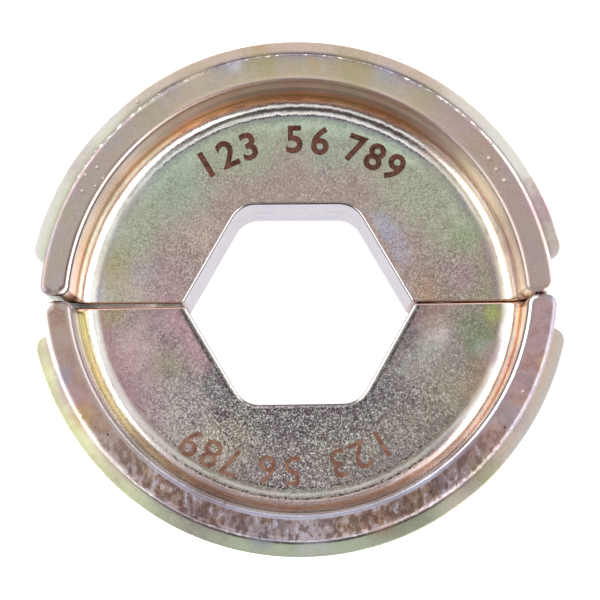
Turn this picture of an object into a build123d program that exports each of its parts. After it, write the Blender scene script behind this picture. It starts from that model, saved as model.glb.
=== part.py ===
from build123d import *
from math import radians, sqrt, tan
import os

# Hexagonal crimping die for a 120 square millimetre copper tube lug, in two matched halves.
# The pair lies flat with its crimp axis upright. Z is that axis, the parting plane lies along X,
# and the upper half is on the +Y side of it.

# Driving dimensions in millimetres
across_flats = 16.6       # hexagon of the closed nest
die_width = 25.0          # overall, along the crimp axis
web_width = 10.6          # plate that holds the nest
collar_radius = 22.0      # locating collar, fits the round seat of the press head
arc_drop = 1.13           # the round outlines are struck from this far beyond the parting face
rim_radius = 20.85        # side rims, outside
rim_wall = 2.38           # radial thickness of a side rim
collar_setback = 1.05     # from a rim's face to the collar's flank
collar_stop = 2.75        # height above the parting face at which the collar starts
collar_end_slope = 25.0   # degrees, the collar's ends lean away from the parting face
cove_radius = 1.7         # foot of a rim's inner wall, where it runs into the web

# Broken and rounded edges
rim_edge_break = 0.35     # all round each rim's face
web_edge_break = 0.2      # all round each face of the web, and down the recess at the parting face
nest_corner = 2.3         # corners inside each half of the hexagon
parting_corner = 0.55     # where a nest flank meets the parting face
rim_end_round = 0.65      # upright edges of the rims at the parting face
collar_end_round = 1.05   # outer corners of the collar's ends
collar_root_round = 0.3   # where a collar end runs down to the rim
collar_edge_break = 0.15

# Detent for the press head's retaining pin, milled into the crown of the collar
detent_diameter = 4.0
detent_depth = 2.0

# How the halves lie: close together at the +X end, gaping a little at the other
gape_angle = 0.53         # degrees between the two parting faces
hinge_x = 20.2            # where the parting faces come closest
closest_gap = 0.02
slip = 0.19               # the lower half sits this far towards +X of the upper one

mid_width = die_width / 2
recess_depth = (die_width - web_width) / 2
recess_radius = rim_radius - rim_wall
cove_start = recess_radius - cove_radius
crown_height = collar_radius - arc_drop
root_x = sqrt(rim_radius ** 2 - (collar_stop + arc_drop) ** 2)
far_x = 2 * collar_radius
far_y = collar_stop + (far_x - root_x) * tan(radians(collar_end_slope))

arc_centre = (0, -arc_drop)
turning_axis = Axis((0, -arc_drop, 0), (0, 0, 1))
section_plane = Plane(origin=(0, -arc_drop, 0), x_dir=(1, 0, 0), z_dir=(0, -1, 0))
parting_plane = Plane(origin=(0, 0, 0), x_dir=(1, 0, 0), z_dir=(0, 1, 0))

with BuildPart() as die_half:
    # Turned body with an I section: the web, a rim standing on each side of it, and the locating collar
    with BuildSketch(section_plane):
        with BuildLine():
            web_face = Line((0, recess_depth), (cove_start, recess_depth))
            cove = RadiusArc(web_face @ 1, (recess_radius, recess_depth - cove_radius), cove_radius)
            Polyline(
                cove @ 1,
                (recess_radius, 0),
                (rim_radius, 0),
                (rim_radius, collar_setback),
                (collar_radius - collar_edge_break, collar_setback),
                (collar_radius, collar_setback + collar_edge_break),
                (collar_radius, mid_width),
                (0, mid_width),
                web_face @ 0,
            )
        make_face()
    revolve(axis=turning_axis, revolution_arc=180)
    mirror(about=Plane.XY.offset(mid_width))

    # The collar's ends are milled back to the rims, leaning away from the parting face
    with BuildSketch() as outline:
        with Locations(arc_centre):
            Circle(collar_radius)
        with BuildLine():
            Polyline(
                (-far_x, -far_x),
                (-far_x, far_y),
                (-root_x, collar_stop),
                (root_x, collar_stop),
                (far_x, far_y),
                (far_x, -far_x),
                close=True,
            )
        make_face(mode=Mode.SUBTRACT)
        with Locations(arc_centre):
            Circle(rim_radius)
        fillet(outline.vertices().group_by(Axis.Y)[-1], collar_end_round)
        fillet(outline.vertices().group_by(Axis.Y)[0], collar_root_round)
    extrude(amount=die_width, mode=Mode.INTERSECT)
    split(bisect_by=parting_plane, keep=Keep.TOP)

    # Nest: half of a regular hexagon with rounded corners, right through the web
    with BuildSketch() as nest:
        RegularPolygon(across_flats / 2, 6, major_radius=False)
        fillet(nest.vertices().group_by(Axis.Y)[-1], nest_corner)
    extrude(amount=die_width, mode=Mode.SUBTRACT)

    # Upright edges at the parting face: the nest's mouth, then the ends of the rims
    upright = die_half.edges().filter_by(Axis.Z).filter_by_position(Axis.Y, -0.01, 0.01)
    by_reach = upright.group_by(lambda e: round(abs(e.center().X), 1))
    fillet(by_reach[0], parting_corner)
    fillet(by_reach[-1], rim_end_round)

    # Faces that look along Z, from the back: rim, collar flank, web, then the same again to the front
    across = die_half.faces().filter_by(Axis.Z).group_by(Axis.Z)
    for rim_face in (across[0], across[-1]):
        chamfer(rim_face.edges(), rim_edge_break)
    for level in (recess_depth, die_width - recess_depth):
        web = die_half.faces().filter_by(Axis.Z).filter_by_position(Axis.Z, level - 0.01, level + 0.01)
        chamfer(web.edges().sort_by(SortBy.LENGTH)[:-1], web_edge_break)

    # Detent at the middle of the crown
    with Locations(Plane(origin=(0, crown_height, mid_width), z_dir=(0, 1, 0))):
        Hole(detent_diameter / 2, detent_depth)

# The halves are alike: the lower one is the same piece turned round to face the upper
half_slip = slip / 2
half_gap = closest_gap / 2


def lie(half, side):
    """Turns a half by half of the gape about the closest point, and slides it off the parting plane."""
    facing = half if side > 0 else half.rotate(Axis.Z, 180)
    about = Axis((hinge_x, 0, 0), (0, 0, 1))
    return facing.rotate(about, -side * gape_angle / 2).moved(Location((-side * half_slip, side * half_gap, 0)))


with BuildPart() as upper_die_half:
    add(lie(die_half.part, 1))

with BuildPart() as lower_die_half:
    add(lie(die_half.part, -1))

os.makedirs("parts", exist_ok=True)
upper_die_half.part.label = "upper_die_half"
lower_die_half.part.label = "lower_die_half"
export_step(upper_die_half.part, "parts/upper_die_half.step")
export_step(lower_die_half.part, "parts/lower_die_half.step")

for half in (upper_die_half.part, lower_die_half.part):
    box = half.bounding_box()
    print(half.label, [round(v, 3) for v in (*box.min, *box.max)], "volume", round(half.volume, 1))
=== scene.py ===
from math import asin, atan2, cos, pi, radians, sin, sqrt, tan

import bmesh
import bpy
import numpy as np
from mathutils import Matrix, Vector


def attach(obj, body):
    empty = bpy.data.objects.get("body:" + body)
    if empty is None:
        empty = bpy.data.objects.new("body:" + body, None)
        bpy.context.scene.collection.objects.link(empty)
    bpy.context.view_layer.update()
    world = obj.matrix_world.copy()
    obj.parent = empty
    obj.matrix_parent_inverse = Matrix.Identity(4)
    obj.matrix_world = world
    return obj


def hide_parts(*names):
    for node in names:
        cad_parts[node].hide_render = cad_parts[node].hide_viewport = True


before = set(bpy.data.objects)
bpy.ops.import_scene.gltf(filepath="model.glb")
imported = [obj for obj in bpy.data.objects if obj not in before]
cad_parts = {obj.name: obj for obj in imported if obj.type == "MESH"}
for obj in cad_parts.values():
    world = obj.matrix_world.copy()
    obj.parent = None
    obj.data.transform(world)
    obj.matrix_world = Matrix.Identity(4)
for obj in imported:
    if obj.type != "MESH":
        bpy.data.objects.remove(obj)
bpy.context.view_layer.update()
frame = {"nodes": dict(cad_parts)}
scene = bpy.context.scene
mm = 0.001                                   # the sizes below are millimetres, Blender's are metres
mergeWithin = 1e-7                           # metres, for points that are one
print("frame loaded:", ", ".join(frame["nodes"]))


view = {
    "lens": 132.0, "sensor": 36.0,           # on the 600 x 600 frame that is 2200 pixels of focal length
    "tilt": (-5.639, -0.339, 0.598),         # degrees about X, Y and Z, in that order
    "aside": (-0.139, 0.388), "distance": 176.9,   # from the middle of the pair's front
    "front": 25.0,                           # height of the front faces
    "clip": (0.01, 10.0),                    # metres
}


def placeCamera(view):
    # The camera's axes are the rows of the product of the three tilts, so its own turn is that product turned over.
    turn = Matrix.Identity(3)
    for angle, axis in zip(view["tilt"], "XYZ"):
        turn = turn @ Matrix.Rotation(radians(angle), 3, axis)
    back = turn.transposed()
    spot = back @ Vector((-view["aside"][0], -view["aside"][1], view["distance"])) + Vector((0, 0, view["front"]))
    data = bpy.data.cameras.new("camera")
    data.lens, data.sensor_width, data.sensor_height = view["lens"], view["sensor"], view["sensor"]
    data.clip_start, data.clip_end = view["clip"]
    camera = bpy.data.objects.new("camera", data)
    camera.matrix_world = Matrix.Translation(spot * mm) @ back.to_4x4()
    scene.collection.objects.link(camera)
    scene.camera = camera


placeCamera(view)


# Tints of the yellow passivated zinc and of the inks, by name, as six hex digits each.
# Some of them, such as white and soot, also serve as painted highlights and painted shade.
tints = {
    "sage": "a8b09a", "teal": "9fb4a6", "leaf": "9aad84", "lime": "a7b06a", "olive": "a59c6c",
    "khaki": "a19c84", "lemon": "e6e08c", "cream": "f4e8d0", "white": "fdfaf6", "pearl": "e2dfd6",
    "pistachio": "d4dabc", "lavender": "d3d0de", "violet": "a9a8bc", "slate": "8f8d9c", "mauve": "a9958f",
    "rose": "b3929a", "plum": "7f6a70", "salmon": "e0a08a", "peach": "f4c8ac", "umber": "94705e",
    "bronze": "ae9274", "sand": "bdb096", "blush": "cbb6a8", "stone": "a8a29a", "soot": "463c3e",
    "mint": "c8dcc8", "ochre": "c39a5c", "clay": "efbfa8", "brick": "e39c78", "copper": "d98a52",
    "dusk": "8f8484", "pewter": "bdb9c8", "petal": "ecd2c8", "moss": "7f8a6c", "ash": "746c70",
    "apricot": "f8b48c", "fawn": "c8a088", "celery": "dfe2b4", "oat": "cfcabf", "honey": "f8c47c",
    "blossom": "fae8ec", "gravel": "8c8878", "bark": "5e443c", "amber": "dc9f66", "primrose": "f2f4c4",
    "shell": "c3bdb6", "cocoa": "4c2e28", "chestnut": "684237", "clove": "7a5245",
}


def shade(tint):
    # A tint by its name, as seen on a screen, to the linear values that a shader takes.
    code = tints[tint]
    parts = [int(code[i:i + 2], 16) / 255 for i in (0, 2, 4)]
    return tuple(c / 12.92 if c <= 0.04045 else ((c + 0.055) / 1.055) ** 2.4 for c in parts) + (1.0,)


class Wire:
    # A socket in a material that takes part in Python's sums. Each sum adds its Math node.
    def __init__(self, tree, socket=None):
        self.tree, self.socket = tree, socket

    def node(self, kind, settings=None, values=None, out=0):
        # Any other node: its type, its settings, then the values or links of its sockets.
        made = self.tree.nodes.new("ShaderNode" + kind)
        for name, value in (settings or {}).items():
            if name == "stops":
                ramp = made.color_ramp.elements
                while len(ramp) < len(value):
                    ramp.new(1.0)
                for stop, (at, tint) in zip(ramp, value):
                    stop.position, stop.color = at, shade(tint)
            else:
                setattr(made, name, value)
        for name, value in (values or {}).items():
            if isinstance(value, Wire):
                self.tree.links.new(value.socket, made.inputs[name])
            else:
                made.inputs[name].default_value = value
        return Wire(self.tree, made.outputs[out])

    def sum(self, operation, a, b):
        # A Math node on two values.
        return self.node("Math", {"operation": operation}, {0: a, 1: b})

    def __add__(self, other): return self.sum("ADD", self, other)
    def __radd__(self, other): return self.sum("ADD", other, self)
    def __sub__(self, other): return self.sum("SUBTRACT", self, other)
    def __rsub__(self, other): return self.sum("SUBTRACT", other, self)
    def __mul__(self, other): return self.sum("MULTIPLY", self, other)
    def __rmul__(self, other): return self.sum("MULTIPLY", other, self)
    def __gt__(self, other): return self.sum("GREATER_THAN", self, other)

    def __abs__(self): return self.node("Math", {"operation": "ABSOLUTE"}, {0: self})

    def ease(self, low, high):
        # Nought below low, one above high, and a smooth rise between them.
        limits = {"Value": self, "From Min": low, "From Max": high}
        return self.node("MapRange", {"interpolation_type": "SMOOTHSTEP"}, limits)

    def band(self, start, full, fade, end):
        # One from full to fade, nought outside start and end, with smooth slopes.
        return self.ease(start, full) * (1 - self.ease(fade, end))

    def mix(self, a, b):
        # Colour a where this value is nought, and colour b where it is one. A tint goes by its name.
        a, b = (shade(c) if isinstance(c, str) else c for c in (a, b))
        return self.node("Mix", {"data_type": "RGBA"}, {0: self, 6: a, 7: b}, out=2)


half = {
    "width": 25.0, "webWidth": 10.6, "acrossFlats": 16.6,
    "rimRadius": 20.85, "rimWall": 2.38, "arcDrop": 1.13,
    "collarRadius": 22.0, "collarSetback": 1.05, "collarStop": 2.75, "collarSlope": 25.0,
    "coveRadius": 1.7, "nestCorner": 2.3, "collarEndRound": 1.05, "collarRootRound": 0.3,
    "rimEdge": 0.5, "webEdge": 0.2, "mouthEdge": 0.55, "collarEdge": 0.15,
    "rimEndEdge": 0.95, "rimInnerEdge": 0.75,    # upright edges of the rims' ends, outside and inside
    "endStretch": 1.5,                           # how much longer than high the edge over a rim's end is
    "detentRadius": 2.0, "detentDepth": 2.0, "detentPatch": 3.2,
    "gape": 0.53, "hinge": 20.2, "gap": 0.02, "slip": 0.19,   # the gape is in degrees, about a point at the right
}
grid = {
    "edge": 6, "cove": 9, "web": 16, "nest": 13,   # points down each surface, some shared with the next
    "stations": (6, 24, 26, 18, 8, 12),          # along an arch: end, collar end, flank, nest corner, crown, detent
    "cornerPoints": 7, "facePoints": 12,         # round a corner at the parting face, and across that face
}


def arcPoints(centre, radius, start, end, count):
    # Points at even angles on a circle, from one angle to another.
    angle = np.linspace(start, end, count)
    return np.stack([centre[0] + radius * np.cos(angle), centre[1] + radius * np.sin(angle)], -1)


def roundCorner(a, corner, b, lean, count):
    # The circular arc that touches the lines a to corner and corner to b, as a rational curve:
    # (1-s)(1-s) a + 2 lean s(1-s) corner + s s b, over the sum of its weights. Lean is the sine of half the corner.
    s = np.linspace(0, 1, count)[:, None]
    weights = (1 - s) ** 2, 2 * lean * s * (1 - s), s ** 2
    return (weights[0] * a + weights[1] * corner + weights[2] * b) / sum(weights)


def asPolar(path, size):
    # Turns a path into angle and radius about the centre of the round outlines, rising in angle.
    x, y = path[:, 0], path[:, 1] + size["arcDrop"]
    angle, radius = np.arctan2(y, x), np.hypot(x, y)
    order = np.argsort(angle)
    return angle[order], radius[order]


def collarOutline(size):
    # Right half of the collar's outline: rim, a small hollow round, the milled slope, a larger round, then the crown.
    rim, collar, drop = size["rimRadius"], size["collarRadius"], size["arcDrop"]
    slope = radians(size["collarSlope"])
    along, inward = np.array([cos(slope), sin(slope)]), np.array([-sin(slope), cos(slope)])
    centre = np.array([0, -drop])
    root = np.array([sqrt(rim ** 2 - (size["collarStop"] + drop) ** 2), size["collarStop"]])

    def touching(offset, reach):
        # The point this far to the side of the slope, and this far from the centre of the outlines.
        start = root + inward * offset - centre
        forward = start @ along
        return centre + start + along * (-forward + sqrt(forward ** 2 - start @ start + reach ** 2))

    small, large = size["collarRootRound"], size["collarEndRound"]
    hollow, crown = touching(-small, rim + small), touching(large, collar - large)
    lowest = atan2(*(centre - hollow)[::-1]) % (2 * pi)
    highest = atan2(*(crown - centre)[::-1])
    facing = atan2(-inward[1], -inward[0])
    return np.concatenate([
        arcPoints(centre, rim, 0.0, lowest - pi, 60)[:-1],
        arcPoints(hollow, small, lowest, facing + pi, 12),
        arcPoints(crown, large, facing, highest, 24)[:-1],
        arcPoints(centre, collar, highest, pi / 2, 400),
    ]), atan2(hollow[1] + drop, hollow[0]), highest


def nestOutline(size, wider, count=40):
    # Right half of the hexagon's outline, made this much wider, from its mouth up the flank and round to the middle.
    flat = size["acrossFlats"] / 2 + wider
    mouth, corner = np.array([2 * flat / sqrt(3), 0]), np.array([flat / sqrt(3), flat])
    length = (size["nestCorner"] + wider) * tan(radians(30))
    onFlank = corner + length * np.array([0.5, -sqrt(3) / 2])
    onFlat = corner - np.array([length, 0])
    return np.concatenate([
        np.linspace(mouth, onFlank, count)[:-1],
        roundCorner(onFlank, corner, onFlat, sqrt(3) / 2, count),
        np.linspace(onFlat, [0, flat], count)[1:],
    ]), onFlank, onFlat


def levelTable(size):
    # One row for each closed loop round the front half, from the inset outline of the rim's face to the middle.
    # Outer side: how far it is drawn in, how far the collar bulges (0 to 1) and its height. Inner side: its radius,
    # or how much wider than the nest it is, its height, and which way the corner at the parting face turns down.
    # Zones count the surfaces off: 1 rim edge, 2 wall, 3 cove (or collar flank), 4 web, 5 nest edge, 6 nest wall.
    # The outer side has them below nought in the masks. It goes on down the collar while the inner side crosses the
    # cove, the web and the nest.
    front, middle = size["width"], size["width"] / 2
    web = middle + size["webWidth"] / 2
    recess = size["rimRadius"] - size["rimWall"]
    rim, edge, cove, lip = size["rimEdge"], size["webEdge"], size["coveRadius"], size["collarEdge"]
    proud = size["collarRadius"] - size["rimRadius"]
    flank = front - size["collarSetback"]
    table = []

    def row(**values):
        # Adds one loop's values.
        table.append(values)

    for turn in np.linspace(0, pi / 2, grid["edge"]):
        part = turn / (pi / 2)
        inset, height = rim * (1 - sin(turn)), front - rim * (1 - cos(turn))
        row(inset=inset, bulge=0, outerZ=height, plainZ=height, radius=recess + inset, innerZ=height, down=0,
            zoneOut=1 + part, zoneIn=1 + part, edge=1.0)
    above = front - rim
    outer = [(0, z, 2 + (above - z) / (above - flank)) for z in (above - 0.1, flank + 0.15, flank)]
    outer += [(share * (proud - lip) / proud, flank, 3 + share) for share in (0.04, 0.35, 0.65, 0.9, 1.0)]
    outer += [((proud - lip * (1 - sin(turn))) / proud, flank - lip * (1 - cos(turn)), 4 + turn / (pi / 2))
              for turn in (pi / 6, pi / 3, pi / 2)]
    outer += [(1, z, 5.0) for z in np.linspace(flank - lip - 0.12, web + 3.0, 7)]   # down the collar's round face
    for i, (bulge, height, zone) in enumerate(outer):
        drop = (1 - cos(pi * (i + 1) / len(outer))) / 2
        plain = height if bulge == 0 else min(height, flank - 0.03 * (i - 2))   # where there is no collar
        row(inset=0, bulge=bulge, outerZ=height, plainZ=plain, radius=recess, down=0,
            innerZ=above + (web + cove - above) * drop, zoneOut=zone, zoneIn=2 + drop, edge=0.0)
    for i, turn in enumerate(np.linspace(0, pi / 2, grid["cove"])[1:]):
        height = web + 2.8 - 2.95 * i / 7
        row(inset=0, bulge=1, outerZ=height, plainZ=height, radius=recess - cove + cove * cos(turn),
            innerZ=web + cove - cove * sin(turn), down=turn, zoneOut=5.0, zoneIn=3 + turn / (pi / 2), edge=0.0)
    for i, across in enumerate((1 - np.cos(np.linspace(0, pi, grid["web"])[1:-1])) / 2):
        height = web - 0.3 - 0.1 * i
        row(inset=0, bulge=1, outerZ=height, plainZ=height, across=across, innerZ=web, down=pi / 2,
            zoneOut=5.0, zoneIn=4 + across, edge=0.0)
    for i, turn in enumerate(np.linspace(0, pi / 2, grid["edge"])):
        height = web - 1.75 - 0.05 * i
        row(inset=0, bulge=1, outerZ=height, plainZ=height, wider=edge * (1 - sin(turn)),
            innerZ=web - edge * (1 - cos(turn)), down=pi / 2 - turn, mouth=turn / (pi / 2),
            zoneOut=5.0, zoneIn=5 + turn / (pi / 2), edge=1.0)
    many = grid["nest"]
    for i in range(many):
        height = middle + size["detentPatch"] * (many - 1 - i) / (many - 1)
        done = (i + 1) / many
        row(inset=0, bulge=1, outerZ=height, plainZ=height, wider=0.0,
            innerZ=web - edge + (middle - web + edge) * done ** 1.3, down=0, mouth=1.0,
            zoneOut=5.0, zoneIn=6 + done, edge=0.0)
    return table


def dieSurface(size):
    # Closed loops stacked from the front rim face's middle line, over its edges, down the outside and the inside at
    # once, to the middle of the width, and the same again to the back. A loop is the outer arch, a parting face,
    # the inner arch and the other parting face. Each corner is a circular arc.
    drop, front = size["arcDrop"], size["width"]
    rim, wall = size["rimRadius"], size["rimWall"]
    collarPath, collarLow, collarHigh = collarOutline(size)
    collarAngle, collarReach = asPolar(collarPath, size)
    onFlank, onFlat = nestOutline(size, 0.0)[1:]
    outerStart = asin(drop / rim) + size["rimEndEdge"] / rim
    nestStart = atan2(drop, 2 * size["acrossFlats"] / 2 / sqrt(3))
    patch = size["detentPatch"] / size["collarRadius"]

    def share(angle, start):
        # How far an angle is on its way from an arch's first angle to the crown.
        return (angle - start) / (pi / 2 - start)

    flankPolar, flatPolar = (share(atan2(p[1] + drop, p[0]), nestStart) for p in (onFlank, onFlat))
    stops = [0.0, share(collarLow, outerStart) - 0.004, share(collarHigh, outerStart) + 0.004,
             flankPolar - 0.01, flatPolar + 0.01, share(pi / 2 - patch, outerStart), 1.0]
    counts = grid["stations"]
    spans = [np.linspace(a, b, n, endpoint=False) for a, b, n in zip(stops, stops[1:], counts)]
    stations = np.concatenate(spans + [[1.0]])

    def arch(start, reach):
        # The stations from this angle to the crown, each at the radius that reach gives for its angle.
        angle = start + (pi / 2 - start) * stations
        radius = reach(angle)
        return np.stack([radius * np.cos(angle), radius * np.sin(angle) - drop], -1)

    def roundArch(radius, low, length):
        # An arch of a circle from a straight end at this height, less the corner's length. Gives the corner too.
        corner = np.array([sqrt(radius ** 2 - (low + drop) ** 2), low])
        return arch(asin((low + drop) / radius) + length / radius, lambda angle: radius), corner

    def nestArch(wider, length):
        # The hexagon's arch from its flank, this far up from the mouth, to the middle. Gives the mouth's corner too.
        path = nestOutline(size, wider)[0]
        angles, reach = asPolar(path, size)
        first = path[0] + length * np.array([-0.5, sqrt(3) / 2])
        return arch(atan2(first[1] + drop, first[0]), lambda angle: np.interp(angle, angles, reach)), path[0]

    table = levelTable(size)
    rightAngle, halfHexagon = sin(radians(45)), sin(radians(60))
    mouthLength = size["mouthEdge"] * tan(radians(30))
    inner = []
    for level in table:
        if "wider" in level:
            length = size["webEdge"] + (mouthLength - size["webEdge"]) * level["mouth"]
            inner.append(nestArch(level["wider"], length) + (length,))
        elif "radius" in level:
            opening = (size["rimInnerEdge"] - size["webEdge"]) * (1 - level["down"] / (pi / 2)) ** 2
            length = max(size["webEdge"] + opening - level["inset"], 0.08)
            inner.append(roundArch(level["radius"], level["inset"] * size["endStretch"], length) + (length,))
        else:
            inner.append(None)
    onWeb = [i for i, level in enumerate(table) if "across" in level]
    before, after = inner[onWeb[0] - 1], inner[onWeb[-1] + 1]
    for i in onWeb:
        mix = table[i]["across"]
        inner[i] = tuple(a * (1 - mix) + b * mix for a, b in zip(before, after))

    loops, zones, partings, edges = [], [], [], []
    cornerCount, faceCount = grid["cornerPoints"], grid["facePoints"]
    for level, (innerArch, innerCorner, length) in zip(table, inner):
        outerLength = size["rimEndEdge"] - level["inset"]
        outerArch, outerCorner = roundArch(rim - level["inset"], level["inset"] * size["endStretch"], outerLength)
        angle = np.arctan2(outerArch[:, 1] + drop, outerArch[:, 0])
        bulge = np.interp(angle, collarAngle, collarReach) - rim
        outerArch = outerArch + (outerArch + [0, drop]) / rim * (bulge * level["bulge"])[:, None]
        onCollar = np.clip(bulge / 0.1, 0, 1)
        outerZ = level["outerZ"] * onCollar + level["plainZ"] * (1 - onCollar)

        def solid(points, height):
            # Points of the plan with their heights added.
            return np.column_stack([points, np.broadcast_to(height, len(points))])

        outerArch, innerArch = solid(outerArch, outerZ), solid(innerArch, level["innerZ"])
        outerCorner = np.append(outerCorner, level["plainZ"])
        innerCorner = np.append(innerCorner, level["innerZ"])
        outerFoot = outerCorner - [outerLength, 0, 0]
        innerFoot = innerCorner + length * np.array([cos(level["down"]), 0, -sin(level["down"])])
        lean = rightAngle + (halfHexagon - rightAngle) * level.get("mouth", 0.0)
        right = np.concatenate([
            outerArch[::-1],
            roundCorner(outerArch[0], outerCorner, outerFoot, rightAngle, cornerCount)[1:],
            np.linspace(outerFoot, innerFoot, faceCount)[1:-1],
            roundCorner(innerFoot, innerCorner, innerArch[0], lean, cornerCount)[:-1],
            innerArch,
        ])
        many, turn = len(stations), np.linspace(0, 1, cornerCount)
        through = np.linspace(-level["zoneOut"], level["zoneIn"], faceCount)[1:-1]
        zone = np.concatenate([np.full(many + cornerCount - 1, -level["zoneOut"]), through,
                               np.full(many + cornerCount - 1, level["zoneIn"])])
        parting = np.concatenate([np.zeros(many), turn[1:], np.ones(faceCount - 2),
                                  turn[::-1][:-1], np.zeros(many)])
        alongEdge = level["edge"] if level["inset"] > 0 or level["zoneIn"] <= 2 else 0.0
        edge = np.concatenate([np.full(many, level["edge"]), np.ones(cornerCount - 1),
                               np.full(faceCount - 2, alongEdge),
                               np.ones(cornerCount - 1), np.full(many, level["edge"])])
        loops.append(right)
        zones.append(zone)
        partings.append(parting)
        edges.append(edge)

    # The rim face closes on its middle line, where the outer and the inner arch meet.
    middleRadius = rim - wall / 2
    line = arch(asin((wall / 2 + drop) / middleRadius), lambda angle: middleRadius)
    line = np.column_stack([line, np.full(len(line), front)])
    ends = len(loops[0]) - 2 * len(line)
    line = np.concatenate([line[::-1], np.repeat(line[:1], ends, axis=0), line])
    inward = (0.0, 0.35, 0.75)
    loops = [line * (1 - t) + loops[0] * t for t in inward] + loops
    zones = [zones[0] * t for t in inward] + zones
    partings = [partings[0] * 0 for t in inward] + partings
    edges = [edges[0] * 0 for t in inward] + edges

    def close(rows, flip):
        # Left half from the right one, then the back from the front.
        rows = np.array(rows)
        left = rows[:, ::-1][:, 1:-1] * flip[0]
        rows = np.concatenate([rows, left], axis=1)
        return np.concatenate([rows, rows[::-1][1:] * flip[1] + flip[2]], axis=0)

    points = close(loops, (np.array([-1, 1, 1]), np.array([1, 1, -1]), np.array([0, 0, front])))
    named = {"zone": zones, "parting": partings, "edge": edges}
    masks = {name: close(rows, (1, 1, 0)) for name, rows in named.items()}
    return mill(points, size), masks


def mill(points, size):
    # The detent: square rings of the grid round the crown's middle are drawn into circles and let down.
    # Radius and depth go ring by ring from the middle out: floor, wall, rim, then back to the square.
    reach, floor, drop = size["detentRadius"], size["detentDepth"], size["arcDrop"]
    radii = np.array([0, 0.35, 0.65, 0.88, 0.97, 1.0, 1.0, 1.0, 1.02, 1.08, 1.2, 1.4]) * reach
    deep = np.array([1, 1, 1, 1, 1, 0.96, 0.5, 0.06, 0.015, 0, 0, 0])
    many, centre = len(radii), len(points) // 2
    patch = np.roll(points, many, axis=1)[centre - many:centre + many + 1, :2 * many + 1].copy()
    down, side = np.meshgrid(np.arange(-many, many + 1), np.arange(-many, many + 1), indexing="ij")
    ring = np.maximum(abs(down), abs(side))
    inside = ring < many
    ring = np.minimum(ring, many - 1)
    angle = np.arctan2(down, side)
    x, height = radii[ring] * np.cos(angle), -radii[ring] * np.sin(angle)
    surface = np.sqrt(size["collarRadius"] ** 2 - x ** 2) - drop
    bottom = size["collarRadius"] - drop - floor
    y = surface + (bottom - surface) * deep[ring]
    milled = np.stack([x, y, size["width"] / 2 + height], -1)
    patch[inside] = milled[inside]
    columns = np.arange(-many, many + 1) % points.shape[1]
    points = points.copy()
    points[centre - many:centre + many + 1, columns] = patch
    return points


def lie(points, size, side):
    # Turns a half by half of the gape about the closest point, and slides it off the parting plane.
    facing = points * [side, side, 1]
    turn = radians(-side * size["gape"] / 2)
    x, y = facing[..., 0] - size["hinge"], facing[..., 1]
    return np.stack([
        x * cos(turn) - y * sin(turn) + size["hinge"] - side * size["slip"] / 2,
        x * sin(turn) + y * cos(turn) + side * size["gap"] / 2,
        facing[..., 2],
    ], -1)


def gridMesh(name, points, masks):
    # A closed stack of closed loops: quads between neighbours, with the middle lines of the two rim faces merged.
    rows, many = points.shape[:2]
    ids = np.arange(rows * many).reshape(rows, many)
    following = np.roll(ids, -1, axis=1)
    quads = np.stack([ids[:-1], ids[1:], following[1:], following[:-1]], -1).reshape(-1, 4)
    mesh = bpy.data.meshes.new(name)
    mesh.from_pydata((points * mm).reshape(-1, 3), [], quads)
    for mask, values in masks.items():
        mesh.attributes.new(mask, "FLOAT", "POINT").data.foreach_set("value", values.reshape(-1).astype(np.float32))
    work = bmesh.new()
    work.from_mesh(mesh)
    bmesh.ops.remove_doubles(work, verts=work.verts, dist=mergeWithin)
    if work.calc_volume(signed=True) < 0:
        bmesh.ops.reverse_faces(work, faces=work.faces)
    work.to_mesh(mesh)
    print(name, "faces", len(work.faces), "open edges", sum(not e.is_manifold for e in work.edges),
          "volume", round(work.calc_volume() * 1e9, 1))
    work.free()
    mesh.shade_smooth()
    piece = bpy.data.objects.new(name, mesh)
    scene.collection.objects.link(piece)
    return piece


surface, masks = dieSurface(half)
upper = gridMesh("upper_half_plated", lie(surface, half, 1), masks)
lower = gridMesh("lower_half_plated", lie(surface, half, -1), masks)
for piece, node in ((upper, "upper_die_half"), (lower, "lower_die_half")):
    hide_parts(node)
    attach(piece, "root")
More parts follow.
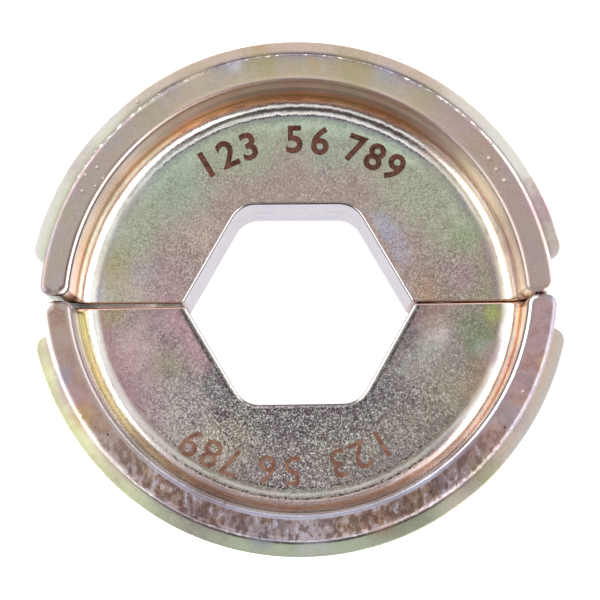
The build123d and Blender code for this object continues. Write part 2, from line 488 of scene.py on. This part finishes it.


# Bands are zones with their tints, from the collar (-5) over the rim face (0) to the nest (6), at the left, the
# crown and the right. Besides the plating's tints they hold painted light: white highlights and reflections on
# the rounds and in the cove, dark lines of painted shade, and paler tints at the left and the right, where the
# side lamps fall, than at the crown. Stains are places where the plating has another tint: x, y and radius in
# millimetres, tint and strength. Pips are x, y and radius, each painted as a bright glint with a painted shadow
# on one side. The cove's lines are the zone and width of broken dark lines of painted shade, and coarse is where
# the grain is stronger: x, y, radius and strength.
upperFinish = {
    "left": [
        (-4.95, "moss"), (-4.6, "pearl"), (-3.6, "pearl"), (-3.15, "pistachio"), (-3.0, "slate"),
        (-1.35, "dusk"), (-1.2, "ash"), (-1.05, "stone"), (0.92, "stone"), (1.02, "mauve"), (1.2, "soot"),
        (1.32, "mauve"), (1.45, "blossom"), (1.64, "shell"), (1.8, "soot"), (1.94, "plum"),
        (2.1, "blossom"), (2.5, "clay"), (2.7, "peach"), (2.94, "peach"), (3.04, "fawn"), (3.17, "bronze"),
        (3.24, "fawn"), (3.31, "white"), (3.42, "white"), (3.5, "umber"), (3.58, "white"), (3.94, "white"),
        (3.99, "slate"), (4.03, "lavender"), (4.08, "sage"), (4.6, "stone"),
    ],
    "crown": [
        (-4.95, "khaki"), (-4.6, "blush"), (-3.4, "blush"), (-3.2, "ash"), (-1.7, "ash"), (-1.45, "slate"),
        (-1, "stone"), (0.9, "sand"), (1.2, "blush"), (1.4, "plum"), (1.6, "bronze"), (1.85, "fawn"),
        (2.28, "clay"), (2.48, "bronze"), (2.76, "salmon"), (2.86, "apricot"), (2.94, "honey"),
        (3.06, "amber"), (3.25, "copper"), (3.33, "brick"), (3.42, "clay"), (3.5, "soot"), (3.6, "white"),
        (3.67, "bark"), (3.75, "ash"), (3.85, "white"), (3.91, "ash"), (3.97, "slate"), (4.01, "teal"),
        (4.08, "mint"), (4.2, "sage"), (4.75, "mauve"),
    ],
    "right": [
        (-4.95, "dusk"), (-4.6, "pearl"), (-3.3, "pearl"), (-3.15, "stone"), (-2.9, "white"),
        (-1.6, "white"), (-1.4, "petal"), (-1.25, "ash"), (-1.1, "mauve"), (1.1, "mauve"), (1.3, "stone"),
        (1.5, "mauve"), (1.66, "blush"), (1.8, "white"), (2.0, "white"), (2.15, "petal"), (2.35, "cream"),
        (2.6, "cream"), (2.75, "peach"), (2.86, "white"), (3.06, "white"), (3.15, "clay"), (3.24, "dusk"),
        (3.33, "blossom"), (3.42, "white"), (3.5, "cream"), (3.58, "fawn"), (3.66, "cream"),
        (3.8, "cream"), (3.92, "stone"), (4.02, "dusk"), (4.07, "khaki"),
    ],
    # Nest: white is a painted highlight and soot is painted shade along its edge, then the wall.
    "nest": [
        (4.9, "mauve"), (5.1, "mauve"), (5.18, "white"), (5.38, "white"), (5.52, "soot"), (5.85, "soot"),
        (6.0, "pewter"),
    ],
    "stains": [
        (-9.9, 10.4, 3.0, "teal", 0.5), (-5.0, 12.6, 3.0, "sage", 0.7), (-13.6, 6.0, 3.4, "sage", 0.6),
        (-15.6, 3.4, 1.8, "olive", 0.5), (-13.9, 1.4, 2.4, "blush", 0.4), (0.2, 8.8, 3.4, "mauve", 0.5),
        (-5.0, 8.6, 2.0, "mauve", 0.5), (3.0, 12.6, 2.2, "teal", 0.4), (-9.8, 3.8, 3.0, "mauve", 0.8),
        (-10.4, 1.2, 2.6, "rose", 0.5), (-13.0, 2.6, 1.2, "violet", 0.3), (-7.9, 5.8, 1.6, "blush", 0.4),
        (11.2, 9.4, 2.2, "sage", 0.7), (14.4, 5.4, 1.6, "leaf", 0.6), (8.0, 8.4, 2.4, "sage", 0.5),
        (7.0, 6.8, 1.0, "violet", 0.5), (7.7, 5.6, 1.2, "violet", 0.6), (8.5, 4.3, 1.0, "violet", 0.5),
        (12.9, 1.9, 2.8, "plum", 0.35), (13.4, 2.4, 1.8, "rose", 0.5), (16.3, 4.6, 1.0, "rose", 0.4),
        (10.6, 0.8, 1.8, "ochre", 0.25), (-2.6, 18.9, 1.6, "olive", 0.6), (4.6, 18.6, 1.8, "olive", 0.6),
        (1.4, 19.0, 0.6, "ochre", 0.3), (-8.2, 18.0, 1.4, "sand", 0.6), (-11.9, 15.2, 1.8, "khaki", 0.5),
        (-5.0, 18.9, 0.6, "lavender", 0.4), (7.4, 18.4, 1.0, "violet", 0.3),
        (10.6, 16.2, 1.4, "olive", 0.35), (19.4, 5.4, 3.6, "mauve", 0.7), (-16.6, 9.8, 2.6, "mauve", 0.4),
        (-3.0, 21.4, 1.4, "ochre", 0.3), (20.4, 7.6, 1.8, "rose", 0.6), (12.4, 12.8, 2.0, "rose", 0.3),
    ],
    "pips": [
        (15.5, 11.0, 0.14), (16.1, 10.1, 0.13), (16.7, 9.2, 0.14), (-16.2, 10.6, 0.12), (-17.1, 10.0, 0.1),
        (-16.3, 9.1, 0.09), (-15.7, 9.7, 0.08), (-17.4, 8.7, 0.1), (-11.2, 16.6, 0.1), (-13.0, 16.2, 0.12),
    ],
    "coveShadeLines": [(3.68, 0.035), (3.91, 0.03)],
    "rimMottle": 0.3,
    "mottles": ("slate", "stone", "rose", "bronze", "khaki"),
    "scuffs": 0.0,
    "grain": 0.3,
    "coarse": [(-9, 3, 6, 0.1), (12, 2, 5, 0.1)],
    # Painted shade on the corner above the parting face.
    "corner": "umber",
    "burrsAndGlints": 0.8,
    "seed": 3.0,
}

lowerFinish = {
    "left": [
        (-4.95, "moss"), (-4.6, "pistachio"), (-3.9, "celery"), (-3.5, "primrose"), (-3.1, "cream"),
        (-2.9, "white"), (-1.5, "white"), (-1.15, "white"), (-1.0, "oat"), (-0.85, "mauve"),
        (0.95, "mauve"), (1.1, "stone"), (1.5, "mauve"), (1.62, "pewter"), (1.8, "lavender"),
        (2.02, "lavender"), (2.17, "gravel"), (2.36, "gravel"), (2.5, "oat"), (2.65, "petal"),
        (2.8, "cream"), (3.07, "cream"), (3.17, "celery"), (3.25, "lime"), (3.34, "lemon"),
        (3.5, "primrose"), (3.58, "soot"), (3.66, "white"), (3.87, "white"), (3.93, "oat"), (4.0, "rose"),
        (4.3, "mauve"),
    ],
    "crown": [
        (-4.95, "gravel"), (-4.6, "sage"), (-3.15, "sage"), (-3.05, "soot"), (-1.75, "soot"),
        (-1.6, "ash"), (-1.42, "lavender"), (-1.15, "blossom"), (-1, "plum"), (-0.5, "ash"), (0.5, "ash"),
        (0.85, "plum"), (1.0, "pewter"), (1.15, "violet"), (1.25, "violet"), (1.4, "lavender"),
        (1.6, "white"), (3.22, "white"), (3.28, "blossom"), (3.36, "clay"), (3.46, "petal"),
        (3.54, "blush"), (3.62, "mauve"), (3.68, "plum"), (3.76, "blush"), (3.83, "dusk"), (3.89, "stone"),
        (3.93, "pearl"), (3.99, "gravel"), (4.08, "dusk"), (4.5, "dusk"), (4.7, "ash"),
    ],
    "right": [
        (-4.95, "dusk"), (-4.6, "shell"), (-3.9, "shell"), (-3.2, "blush"), (-1.8, "shell"),
        (-1.6, "slate"), (-1.4, "slate"), (-1.2, "pewter"), (-1.05, "rose"), (0.9, "rose"), (1.2, "dusk"),
        (1.38, "white"), (1.5, "white"), (1.7, "plum"), (1.95, "mauve"), (2.2, "clay"), (2.38, "peach"),
        (2.52, "cream"), (2.8, "peach"), (3.0, "clay"), (3.15, "brick"), (3.25, "apricot"),
        (3.33, "blossom"), (3.42, "white"), (3.5, "umber"), (3.57, "cream"), (3.7, "white"),
        (3.84, "white"), (3.92, "blush"), (3.99, "dusk"), (4.06, "gravel"), (4.8, "stone"),
    ],
    # Nest: white is a painted highlight and soot is painted shade along its edge, then the wall.
    "nest": [
        (4.9, "dusk"), (4.97, "soot"), (5.05, "white"), (5.6, "white"), (5.8, "soot"), (6.0, "pewter"),
    ],
    "stains": [
        (-9.6, -1.8, 2.6, "rose", 0.8), (-12.2, -3.4, 2.2, "rose", 0.3), (-13.6, -3.8, 2.0, "petal", 0.35),
        (-8.6, -4.0, 1.6, "rose", 0.8), (-15.6, -0.7, 1.2, "olive", 0.6), (-11.0, -5.0, 1.8, "khaki", 0.6),
        (-14.0, -4.8, 2.2, "rose", 0.4), (-12.6, -7.8, 2.0, "rose", 0.4), (-10.0, -9.2, 2.8, "shell", 0.4),
        (-7.0, -11.8, 2.4, "sand", 0.5), (-4.6, -10.8, 2.4, "gravel", 0.5),
        (-0.6, -11.0, 2.4, "ash", 0.55), (2.4, -12.4, 2.6, "gravel", 0.6),
        (5.6, -11.8, 2.0, "gravel", 0.6), (8.6, -10.4, 2.4, "gravel", 0.5),
        (11.8, -7.4, 2.4, "khaki", 0.5), (9.6, -5.4, 2.4, "stone", 0.5), (11.8, -2.6, 1.3, "pearl", 0.4),
        (10.8, -4.0, 1.0, "pearl", 0.25), (14.4, -1.9, 1.5, "moss", 0.7), (15.2, -3.4, 1.3, "moss", 0.8),
        (15.4, -4.0, 0.8, "teal", 0.5), (16.2, -1.0, 0.9, "lime", 0.7), (16.2, -4.6, 1.1, "rose", 0.6),
        (11.4, -1.0, 1.8, "salmon", 0.2), (14.8, -6.6, 1.6, "bronze", 0.4),
        (-19.4, -4.0, 2.0, "mauve", 0.4), (-18.2, -8.0, 1.8, "rose", 0.5),
        (-17.4, -9.6, 1.0, "ochre", 0.5), (-19.0, -6.4, 0.8, "slate", 0.6),
        (-14.4, -12.9, 2.4, "mauve", 0.5), (-8.2, -17.4, 3.2, "plum", 0.5),
        (-3.0, -19.4, 1.0, "slate", 0.6), (13.6, -13.6, 2.6, "plum", 0.5), (16.6, -9.8, 1.6, "slate", 0.4),
        (1.0, -19.0, 1.8, "pewter", 0.4), (8.4, -17.6, 3.0, "bark", 0.35), (6.4, -18.4, 1.0, "umber", 0.5),
        (15.4, -14.8, 1.6, "lime", 0.3), (12.6, -17.4, 1.4, "blush", 0.5),
    ],
    "pips": [(-17.5, -9.5, 0.12), (17.9, -7.9, 0.1)],
    # Cove lines are broken lines of painted shade.
    "coveShadeLines": [(3.8, 0.04), (4.05, 0.014)],
    "rimMottle": 0.6,
    "mottles": ("plum", "mauve", "umber", "bronze", "mauve"),
    "scuffs": 1.0,
    "grain": 0.3,
    "coarse": [(0, -12, 9, 0.5), (-8, -9, 6, 0.35), (9, -9, 6, 0.3)],
    # Painted highlight on the corner above the parting face.
    "corner": "petal",
    "burrsAndGlints": 0.25,
    "seed": 11.0,
}


# Sizes in millimetres and strengths of the patterns that both halves share.
pattern = {
    "broad": 7.0, "patchy": 1.6, "fine": 0.4, "grain": 0.15, "dust": 0.08,       # noise, from coarse to fine
    "mottles": 2.4, "streaks": 0.4, "blotches": 0.8, "pits": 1.5,
    "mottleStops": (0.3, 0.42, 0.5, 0.58, 0.7),
    "rings": (7.0, 2.5), "turning": (4.5, 1.5),          # turning marks across their run, and along the arc
    "bandZones": (-6.0, 7.0), "nestZones": (4.9, 6.1),   # what the colour ramps reach over
    "leftFrom": (8.0, 17.5), "rightFrom": (8.5, 17.5),   # from the middle, where a side's bands start and are full
    "roughness": 0.36, "relief": 0.35, "reliefHeight": 0.02,
}


def plating(name, finish):
    # Bands by zone, turned from left to crown to right and broken up by noise, under stains, pits and grain.
    material = bpy.data.materials.new(name)
    material.use_nodes = True
    tree = material.node_tree
    start = Wire(tree)

    def mask(attribute):
        # One of the masks that the surface carries.
        return start.node("Attribute", {"attribute_name": attribute}, out=2)

    def noise(size, detail=2.0, kind=0.0, where=None):
        # Noise whose features measure about this many millimetres.
        values = {"Vector": where or place, "W": finish["seed"] + kind, "Scale": 1 / size, "Detail": detail}
        return start.node("TexNoise", {"noise_dimensions": "4D"}, values)

    def vector(operation, other, base=None, out=0):
        # A Vector Math node, on the place as seen from above unless another is given.
        return start.node("VectorMath", {"operation": operation}, {0: base or flat, 1: other}, out=out)

    def away(x, y):
        # Distance from an upright line through this place.
        return vector("DISTANCE", (x, y, 0), out=1)

    def combed(values):
        # A place for noise, from three values of the surface.
        return start.node("CombineXYZ", {}, dict(enumerate(values)))

    def ramp(listed, reach, where):
        # Tints at their places along this reach.
        low, high = reach
        stops = [((at - low) / (high - low), tint) for at, tint in listed]
        return start.node("ValToRGB", {"stops": stops}, {"Fac": (where - low) * (1 / (high - low))})

    metres = start.node("TexCoord", out=3)
    place = start.node("VectorMath", {"operation": "SCALE"}, {0: metres, "Scale": 1 / mm})
    across, along, height = (start.node("SeparateXYZ", {}, {0: place}, out=i) for i in (0, 1, 2))
    aside = abs(across)
    flat = vector("MULTIPLY", (1, 1, 0), place)
    zone, parting, edge = mask("zone"), mask("parting"), mask("edge")
    broad, patchy, fine = noise(pattern["broad"]), noise(pattern["patchy"], 3.0, 1), noise(pattern["fine"], 2.0, 2)
    grain, dust = noise(pattern["grain"], 1.0, 3), noise(pattern["dust"], 0.0, 4)

    # Turning marks run round the rim, the cove and the collar: noise that is long round the arc and narrow across it.
    arc = start.sum("ARCTAN2", along, across)
    narrow, long = pattern["rings"]
    rings = noise(1.0, 2.0, 5, combed((zone * narrow, arc * long, 0.0)))
    narrow, long = pattern["turning"]
    turned = noise(1.0, 3.0, 9, combed((height * narrow, arc * long, 0.0)))
    collared = (zone * -1).ease(4.7, 4.95)
    rimmed = zone.band(-1.6, -1.3, 0.8, 1.1)             # the rim's flat face
    webbed = zone.band(3.9, 4.15, 5.1, 5.4)
    recess = zone.band(1.5, 2.0, 3.85, 4.0)

    # How far a place strays from its zone. The bands stray more in mid web, and hardly at the nest.
    loose = zone.band(4.0, 4.3, 4.6, 4.9) * 1.5 + 0.35
    wander = ((broad - 0.5) * 0.2 + (patchy - 0.5) * 0.25) * loose
    wander = wander + (fine - 0.5) * 0.12 * (1 - edge * 0.7) + (grain - 0.5) * 0.06
    strayed = zone + wander * (1 - zone.ease(4.7, 4.9) * 0.95)
    # Bands hold painted highlights and shade besides tints; the sides are paler as painted light from the lamps.
    left, crown, right = (ramp(finish[side], pattern["bandZones"], strayed) for side in ("left", "crown", "right"))
    sideways = across + (broad - 0.5) * 8
    colour = (sideways * -1).ease(*pattern["leftFrom"]).mix(crown, left)
    colour = sideways.ease(*pattern["rightFrom"]).mix(colour, right)

    cloud = noise(pattern["mottles"], 3.0, 6)
    mottles = ramp(zip(pattern["mottleStops"], finish["mottles"]), (0.0, 1.0), cloud)
    colour = (rimmed * finish["rimMottle"]).mix(colour, mottles)
    for x, y, radius, tint, strength in finish["stains"]:
        reach = away(x, y) + (patchy - 0.5) * radius * 1.6 + (fine - 0.5) * radius * 0.8
        colour = ((1 - reach.ease(0.0, radius * 1.6)) * strength * 1.2).mix(colour, tint)

    # Nest edge and wall: painted highlight, and painted shade, deepest where the edge runs straight across.
    colour = zone.ease(4.93, 4.96).mix(colour, ramp(finish["nest"], pattern["nestZones"], zone))
    straightShade = zone.band(5.0, 5.1, 5.75, 5.95) * aside.ease(5.2, 4.4)
    colour = (straightShade * 0.8).mix(colour, "soot")

    # Scuffs: short pale and dark streaks on the rim farthest from the parting face.
    if finish["scuffs"]:
        streaks = noise(pattern["streaks"], 3.0, 7, vector("MULTIPLY", (1.0, 0.6, 1.0), place))
        worn = rimmed * (along * -1).ease(8, 15) * finish["scuffs"]
        colour = (streaks.ease(0.52, 0.42) * worn * 0.7).mix(colour, "bark")
        colour = (streaks.ease(0.55, 0.66) * worn * 0.6).mix(colour, "pewter")

    # Grain: blotches of half a millimetre or so, then dark and pale specks, both coarser at the places listed.
    coarse = finish["grain"] + (patchy - 0.5) * 0.5
    for x, y, radius, strength in finish["coarse"]:
        coarse = coarse + (1 - away(x, y).ease(radius * 0.3, radius)) * strength
    coarse = coarse * (webbed * 0.75 + 0.25)
    speckle = grain * 0.55 + dust * 0.45
    blotch = noise(pattern["blotches"], 2.0, 8)
    colour = (blotch.ease(0.5, 0.34) * coarse * 0.3).mix(colour, "ash")
    colour = (blotch.ease(0.52, 0.68) * coarse * 0.3).mix(colour, "pearl")
    colour = (speckle.ease(0.5, 0.4) * coarse).mix(colour, "soot")
    colour = (speckle.ease(0.53, 0.63) * coarse * 0.65).mix(colour, "white")

    # Lines of the turning marks, then broken lines of painted shade in the cove and the burrs beside the collar.
    colour = (rings.ease(0.42, 0.3) * recess * 0.3).mix(colour, "umber")
    colour = (rings.ease(0.58, 0.7) * recess * 0.35).mix(colour, "white")
    colour = (turned.ease(0.5, 0.3) * collared * 0.3).mix(colour, "umber")
    colour = (turned.ease(0.52, 0.7) * collared * 0.3).mix(colour, "pearl")
    for at, width in finish["coveShadeLines"]:
        line = 1 - abs(zone + (fine - 0.5) * 0.12 - at).ease(width * 0.5, width)
        colour = (line * (1 - aside.ease(8, 15)) * grain.ease(0.6, 0.42)).mix(colour, "soot")
    # The burrs: dark specks, and pale specks that are painted glints.
    burrAndGlint = zone.band(-3.1, -2.6, -1.5, -1.2) * aside.ease(19.0, 16.5) * finish["burrsAndGlints"]
    colour = (burrAndGlint * fine.ease(0.52, 0.4)).mix(colour, "plum")
    colour = (burrAndGlint * fine.ease(0.55, 0.66)).mix(colour, "white")

    # Pits: dark dots in about a fifth of the cells.
    cells = {"Vector": flat, "Scale": 1 / pattern["pits"]}
    middle, chosen = (start.node("TexVoronoi", {}, cells, out=i) for i in (0, 1))
    chosen = start.node("SeparateColor", {}, {0: chosen}) > 0.78
    pit = (1 - middle.ease(0.05, 0.1)) * chosen * (rimmed + 0.3)
    colour = (pit * 0.8).mix(colour, "soot")

    # Pips: small bumps, each with a bright painted glint and a painted shadow on one side.
    pips = None
    for x, y, radius in finish["pips"]:
        uneven = (grain - 0.5) * radius * 2
        pipAndGlint = 1 - (away(x, y) + uneven).ease(radius * 0.4, radius * 1.3)
        pipShadow = 1 - (away(x + radius * 0.8, y - radius * 0.9) + uneven).ease(radius * 0.7, radius * 1.9)
        colour = (pipShadow * 0.5).mix(colour, "umber")
        colour = (pipAndGlint * 0.8).mix(colour, "cream")
        pips = pipAndGlint if pips is None else pips + pipAndGlint

    # At the parting face: the corner above it, painted shade on the upper half and a painted highlight on the lower.
    corner = parting.band(0.05, 0.3, 0.85, 1.0) * zone.ease(2.0, 3.9)
    colour = (corner * 0.9).mix(colour, finish["corner"])
    # Then the face itself, going dusk near the rims' ends as painted shade in the gap between them.
    faces = parting.ease(0.4, 0.9) * (1 - edge)
    colour = faces.mix(colour, aside.ease(17.0, 18.6).mix("blush", "dusk"))

    relief = fine * 0.6 + grain * 0.6 + patchy * 0.5 + rings * recess * 1.5 + turned * collared * 0.6
    relief = relief - pit * 2 + pips * 2
    bumpValues = {"Height": relief, "Strength": pattern["relief"], "Distance": pattern["reliefHeight"] * mm}
    bump = start.node("Bump", {}, bumpValues)
    shader = tree.nodes["Principled BSDF"]
    rough = pattern["roughness"] + (patchy - 0.5) * 0.14 - zone.ease(5.4, 6.0) * 0.1 - edge * 0.03
    rough = rough - recess * (0.04 + zone.ease(3.0, 3.4) * 0.1) - faces * 0.16
    shader.inputs["Metallic"].default_value = 1.0
    for socket, wire in (("Base Color", colour), ("Roughness", rough), ("Normal", bump)):
        tree.links.new(wire.socket, shader.inputs[socket])
    return material


upper.data.materials.append(plating("upper_plating", upperFinish))
lower.data.materials.append(plating("lower_plating", lowerFinish))
print("finish made")


# Plain numbers stand on each web, as thin inlays that are all but level with it. Angles are degrees from +X.
marks = {
    "digits": "12356789", "angles": (120.7, 113.1, 105.7, 90.8, 82.3, 70.6, 63.9, 56.8),
    "reach": 14.95, "cap": 2.35, "lift": 0.012, "depth": 0.1,
    "blotches": 0.9, "grain": 0.14, "relief": 0.3, "reliefHeight": 0.01, "metallic": 0.6,
}
upperMarks = {"bold": 0.026, "aside": 0.0, "ink": ("cocoa", "chestnut")}
lowerMarks = {"bold": 0.004, "aside": 1.0, "ink": ("clove", "umber")}


def digitMesh(digit, bold):
    # Corner points and faces of a digit in Blender's own font at size 1, as a closed slab one unit thick.
    curve = bpy.data.curves.new("digit", "FONT")
    curve.body, curve.offset = digit, bold
    curve.extrude, curve.resolution_u = 0.5, 4           # finer curves leave open edges in some digits
    text = bpy.data.objects.new("digit", curve)
    mesh = bpy.data.meshes.new_from_object(text)
    points = np.empty(len(mesh.vertices) * 3)
    mesh.vertices.foreach_get("co", points)
    faces = [list(face.vertices) for face in mesh.polygons]
    bpy.data.objects.remove(text)
    bpy.data.curves.remove(curve)
    bpy.data.meshes.remove(mesh)
    return points.reshape(-1, 3), faces


def numberMesh(name, marks, hand, side):
    # Each digit is centred on its own box, scaled by the cap height of the one, turned to stand on its angle
    # and set out along the radius.
    web = (half["width"] + half["webWidth"]) / 2
    scale = marks["cap"] / np.ptp(digitMesh("1", hand["bold"])[0][:, 1])
    shapes, faces, count = [], [], 0
    for digit, angle in zip(marks["digits"], marks["angles"]):
        points, sides = digitMesh(digit, hand["bold"])
        points = (points - (points.min(0) + points.max(0)) / 2) * [scale, scale, 1]
        turn = radians(angle)
        outward, onward = np.array([cos(turn), sin(turn)]), np.array([sin(turn), -cos(turn)])
        placed = outward * (marks["reach"] + points[:, 1:2]) + onward * points[:, :1]
        placed = placed + [hand["aside"], -half["arcDrop"]]
        height = np.where(points[:, 2] > 0, web + marks["lift"], web - marks["depth"])
        shapes.append(np.column_stack([placed, height]))
        faces += [[v + count for v in around] for around in sides]
        count += len(points)
    mesh = bpy.data.meshes.new(name)
    mesh.from_pydata(lie(np.concatenate(shapes), half, side) * mm, [], faces)
    work = bmesh.new()
    work.from_mesh(mesh)
    bmesh.ops.remove_doubles(work, verts=work.verts, dist=mergeWithin)
    bmesh.ops.recalc_face_normals(work, faces=work.faces)
    work.to_mesh(mesh)
    print(name, "faces", len(work.faces), "open edges", sum(not e.is_manifold for e in work.edges))
    work.free()
    piece = bpy.data.objects.new(name, mesh)
    scene.collection.objects.link(piece)
    return piece


def etched(name, ink, marks):
    # Brown etching: two browns by noise, with a grain of bare metal through it.
    material = bpy.data.materials.new(name)
    material.use_nodes = True
    tree = material.node_tree
    start = Wire(tree)
    metres = start.node("TexCoord", out=3)
    cloud = start.node("TexNoise", {}, {"Vector": metres, "Scale": 1 / (marks["blotches"] * mm), "Detail": 2.0})
    grain = start.node("TexNoise", {}, {"Vector": metres, "Scale": 1 / (marks["grain"] * mm), "Detail": 1.0})
    colour = cloud.ease(0.38, 0.62).mix(*ink)
    colour = (grain.ease(0.55, 0.7) * 0.35).mix(colour, "bronze")
    bumpValues = {"Height": grain, "Strength": marks["relief"], "Distance": marks["reliefHeight"] * mm}
    bump = start.node("Bump", {}, bumpValues)
    shader = tree.nodes["Principled BSDF"]
    shader.inputs["Metallic"].default_value = marks["metallic"]
    for socket, wire in (("Base Color", colour), ("Roughness", 0.5 + grain * 0.2), ("Normal", bump)):
        tree.links.new(wire.socket, shader.inputs[socket])
    return material


for name, hand, side in (("upper_numbers", upperMarks, 1), ("lower_numbers", lowerMarks, -1)):
    numbers = numberMesh(name, marks, hand, side)
    numbers.data.materials.append(etched(name + "_ink", hand["ink"], marks))
    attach(numbers, "root")
print("numbers in place")


# Lights are white boxes overhead and on four sides. Those at the left and the right are bright, so the metal is
# palest where it faces them. Places and sizes are metres.
lamps = {
    "overhead": {"spot": (0.0, 0.0, 0.62), "size": (0.8, 0.8), "bright": 0.48},
    "leftBox": {"spot": (-0.5, 0.08, 0.26), "size": (1.15, 0.5), "bright": 2.6},
    "rightBox": {"spot": (0.5, -0.1, 0.26), "size": (1.5, 0.5), "bright": 2.6},
    "backBox": {"spot": (0.0, 0.6, 0.45), "size": (1.2, 0.35), "bright": 0.68},
    "frontBox": {"spot": (0.0, -0.6, 0.25), "size": (1.0, 0.3), "bright": 0.4},
}
floorPlan = {"reach": 1.5, "pale": 0.8, "roughness": 0.9, "glow": 0.8}
surroundings = 0.5                          # strength of the plain world


def addLamps(lamps):
    # A box's power is its brightness times its area times pi.
    for name, lamp in lamps.items():
        data = bpy.data.lights.new(name, "AREA")
        data.shape = "RECTANGLE"
        data.size, data.size_y = lamp["size"]
        data.energy = lamp["bright"] * lamp["size"][0] * lamp["size"][1] * pi
        box = bpy.data.objects.new(name, data)
        target = Vector((0, 0, half["width"] * mm / 2))
        facing = (target - Vector(lamp["spot"])).to_track_quat("-Z", "Y")
        box.matrix_world = Matrix.Translation(lamp["spot"]) @ facing.to_matrix().to_4x4()
        scene.collection.objects.link(box)


def layFloor(floorPlan):
    # Pale floor that takes the shadow. Its glow stops short of white, for the camera and the metal alone, and the
    # lamps on its own colour add the rest, so the shadow still shows.
    reach, pale = floorPlan["reach"], floorPlan["pale"]
    corners = [(-reach, -reach, 0), (reach, -reach, 0), (reach, reach, 0), (-reach, reach, 0)]
    mesh = bpy.data.meshes.new("floor")
    mesh.from_pydata(corners, [], [(0, 1, 2, 3)])
    floor = bpy.data.objects.new("floor", mesh)
    scene.collection.objects.link(floor)
    material = bpy.data.materials.new("pale_floor")
    material.use_nodes = True
    tree = material.node_tree
    start = Wire(tree)
    shader = tree.nodes["Principled BSDF"]
    shader.inputs["Base Color"].default_value = (pale, pale, pale, 1)
    shader.inputs["Roughness"].default_value = floorPlan["roughness"]
    rays = [start.node("LightPath", out=out) for out in (0, 3, 6)]   # camera, glossy and transmission rays
    seen = start.sum("MAXIMUM", start.sum("MAXIMUM", rays[0], rays[1]), rays[2])
    glow = start.node("Emission", {}, {"Color": (1, 1, 1, 1), "Strength": seen * floorPlan["glow"]})
    both = start.node("AddShader", {}, {0: Wire(tree, shader.outputs[0]), 1: glow})
    tree.links.new(both.socket, tree.nodes["Material Output"].inputs["Surface"])
    mesh.materials.append(material)


addLamps(lamps)
layFloor(floorPlan)
world = bpy.data.worlds.new("world")
scene.world = world
world.use_nodes = True
world.node_tree.nodes["Background"].inputs["Color"].default_value = (1, 1, 1, 1)
world.node_tree.nodes["Background"].inputs["Strength"].default_value = surroundings
scene.view_settings.view_transform = "Standard"
print("floor and lights in place")
